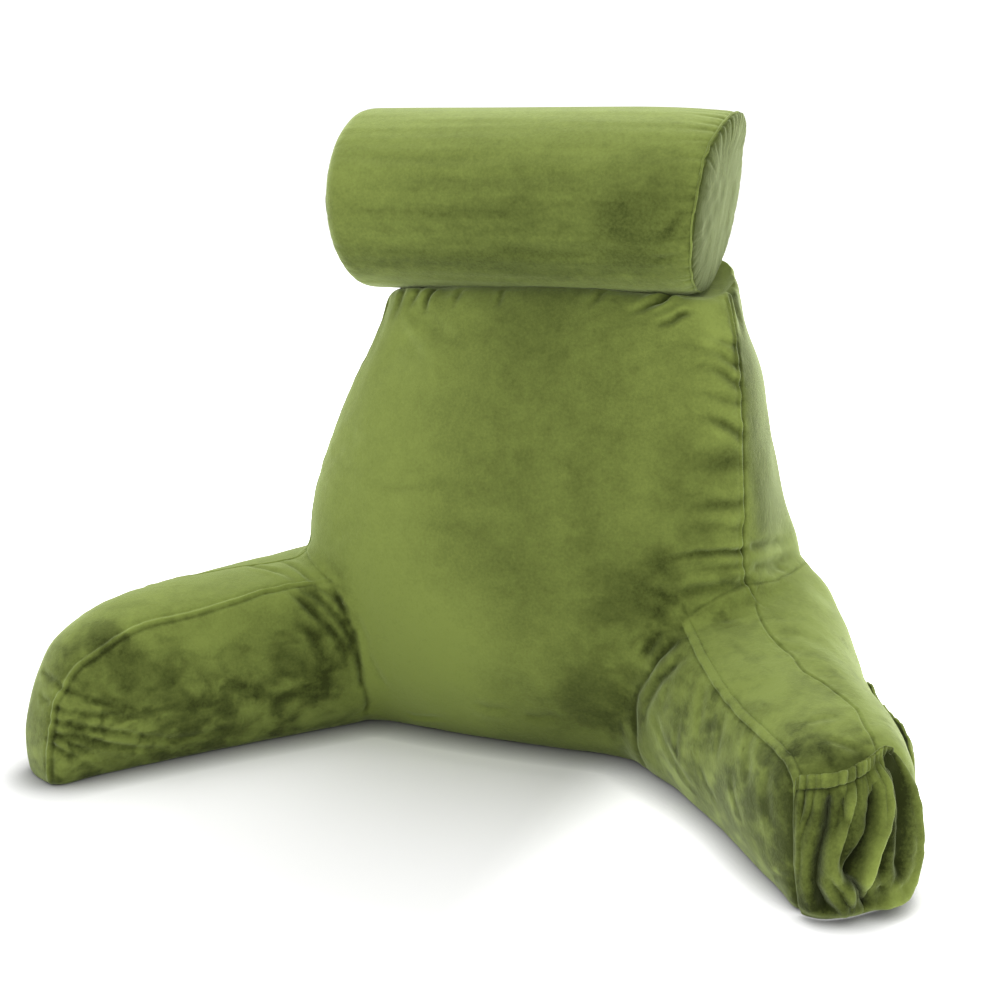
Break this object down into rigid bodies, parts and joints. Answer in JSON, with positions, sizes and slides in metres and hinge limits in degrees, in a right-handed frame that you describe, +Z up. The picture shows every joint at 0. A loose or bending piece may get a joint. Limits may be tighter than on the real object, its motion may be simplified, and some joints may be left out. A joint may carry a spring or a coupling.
{
  "type": "reading pillow with arms",
  "caption": "Plush backrest pillow with a full upright back, splayed arms, a bolster neck roll laid on its top, and elastic-topped pockets on the right arm.",
  "frame": {"origin": "middle of the footprint's box, on the surface that the pillow stands on", "axes": "+Z up, the front faces -Y, and the arm with the pockets is at +X"},
  "size_m": [0.9594, 0.5192, 0.7152],
  "materials": {
    "plush_cover": "short olive green plush pile with a soft sheen and a brushed nap",
    "plush_roll": "short olive green plush pile, a little lighter where it is drawn tight",
    "plush_pocket": "short olive green plush pile, gathered on elastic"
  },
  "bodies": {
    "root": {"pillow_body": "plush_cover", "neck_roll": "plush_roll", "neck_roll_welt_left": "plush_roll", "neck_roll_welt_right": "plush_roll", "end_pocket": "plush_pocket", "side_pocket": "plush_pocket"}
  },
  "joints": []
}
